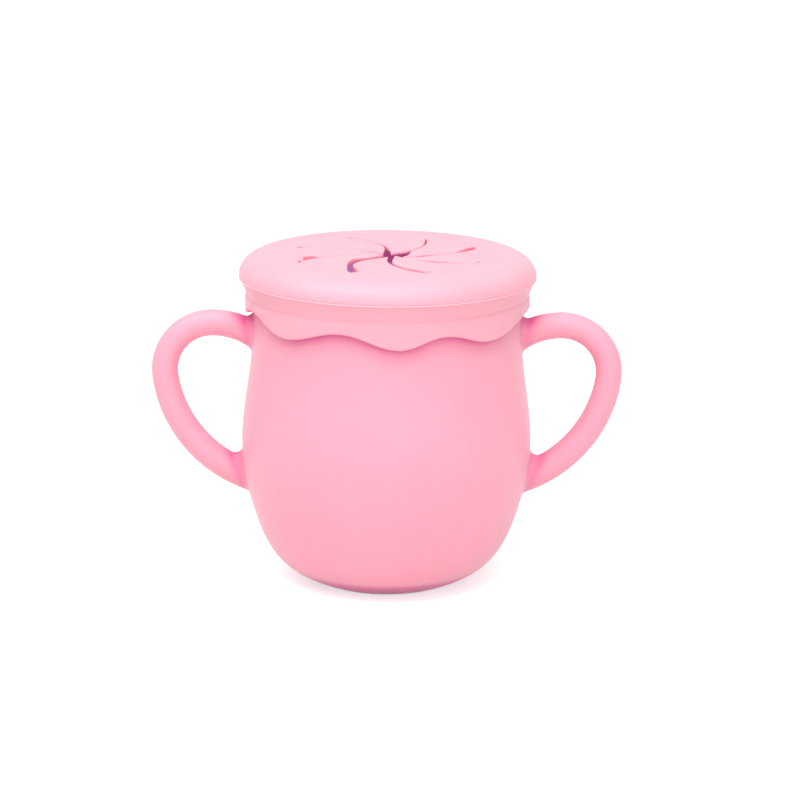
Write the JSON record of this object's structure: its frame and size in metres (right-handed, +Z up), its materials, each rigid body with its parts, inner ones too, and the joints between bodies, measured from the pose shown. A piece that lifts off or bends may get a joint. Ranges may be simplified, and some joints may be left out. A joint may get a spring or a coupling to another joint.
{
  "type": "toddler training cup",
  "caption": "Soft belly-shaped cup with a round loop handle on each side and a stretch-on lid whose pinwheel-slit membrane lets a small hand in and whose skirt hangs in drips.",
  "frame": {"origin": "middle of the cup at the height of the surface it stands on", "axes": "+Z up, X along the two handles, -Y is the front that the picture shows"},
  "size_m": [0.1398, 0.088, 0.0988],
  "materials": {
    "cup_silicone": "satin, translucent pink moulded silicone",
    "lid_silicone": "satin, slightly paler pink moulded silicone"
  },
  "bodies": {
    "cup_body": {"cup_body": "cup_silicone"},
    "lid": {"lid": "lid_silicone"},
    "flap_1": {"flap_1": "lid_silicone"},
    "flap_2": {"flap_2": "lid_silicone"},
    "flap_3": {"flap_3": "lid_silicone"},
    "flap_4": {"flap_4": "lid_silicone"},
    "flap_5": {"flap_5": "lid_silicone"},
    "flap_6": {"flap_6": "lid_silicone"},
    "flap_7": {"flap_7": "lid_silicone"},
    "flap_8": {"flap_8": "lid_silicone"}
  },
  "joints": [
    {"name": "lid_lift", "type": "slide", "parent": "cup_body", "child": "lid", "axis": [0, 0, 1], "range_m": [0, 0.04]},
    {"name": "flap_1_bend", "type": "hinge", "parent": "lid", "child": "flap_1", "pos_m": [0.01765, -0.01773, 0.0975], "axis": [0.6252, 0.7804, 0], "range_deg": [-70, 45], "stiffness_Nm_per_rad": 0.002},
    {"name": "flap_2_bend", "type": "hinge", "parent": "lid", "child": "flap_2", "pos_m": [0.02502, -0.00006, 0.0975], "axis": [-0.1097, 0.994, 0], "range_deg": [-70, 45], "stiffness_Nm_per_rad": 0.002},
    {"name": "flap_3_bend", "type": "hinge", "parent": "lid", "child": "flap_3", "pos_m": [0.01773, 0.01765, 0.0975], "axis": [-0.7804, 0.6252, 0], "range_deg": [-70, 45], "stiffness_Nm_per_rad": 0.002},
    {"name": "flap_4_bend", "type": "hinge", "parent": "lid", "child": "flap_4", "pos_m": [0.00006, 0.02502, 0.0975], "axis": [-0.994, -0.1097, 0], "range_deg": [-70, 45], "stiffness_Nm_per_rad": 0.002},
    {"name": "flap_5_bend", "type": "hinge", "parent": "lid", "child": "flap_5", "pos_m": [-0.01765, 0.01773, 0.0975], "axis": [-0.6252, -0.7804, 0], "range_deg": [-70, 45], "stiffness_Nm_per_rad": 0.002},
    {"name": "flap_6_bend", "type": "hinge", "parent": "lid", "child": "flap_6", "pos_m": [-0.02502, 0.00006, 0.0975], "axis": [0.1097, -0.994, 0], "range_deg": [-70, 45], "stiffness_Nm_per_rad": 0.002},
    {"name": "flap_7_bend", "type": "hinge", "parent": "lid", "child": "flap_7", "pos_m": [-0.01773, -0.01765, 0.0975], "axis": [0.7804, -0.6252, 0], "range_deg": [-70, 45], "stiffness_Nm_per_rad": 0.002},
    {"name": "flap_8_bend", "type": "hinge", "parent": "lid", "child": "flap_8", "pos_m": [-0.00006, -0.02502, 0.0975], "axis": [0.994, 0.1097, 0], "range_deg": [-70, 45], "stiffness_Nm_per_rad": 0.002}
  ]
}
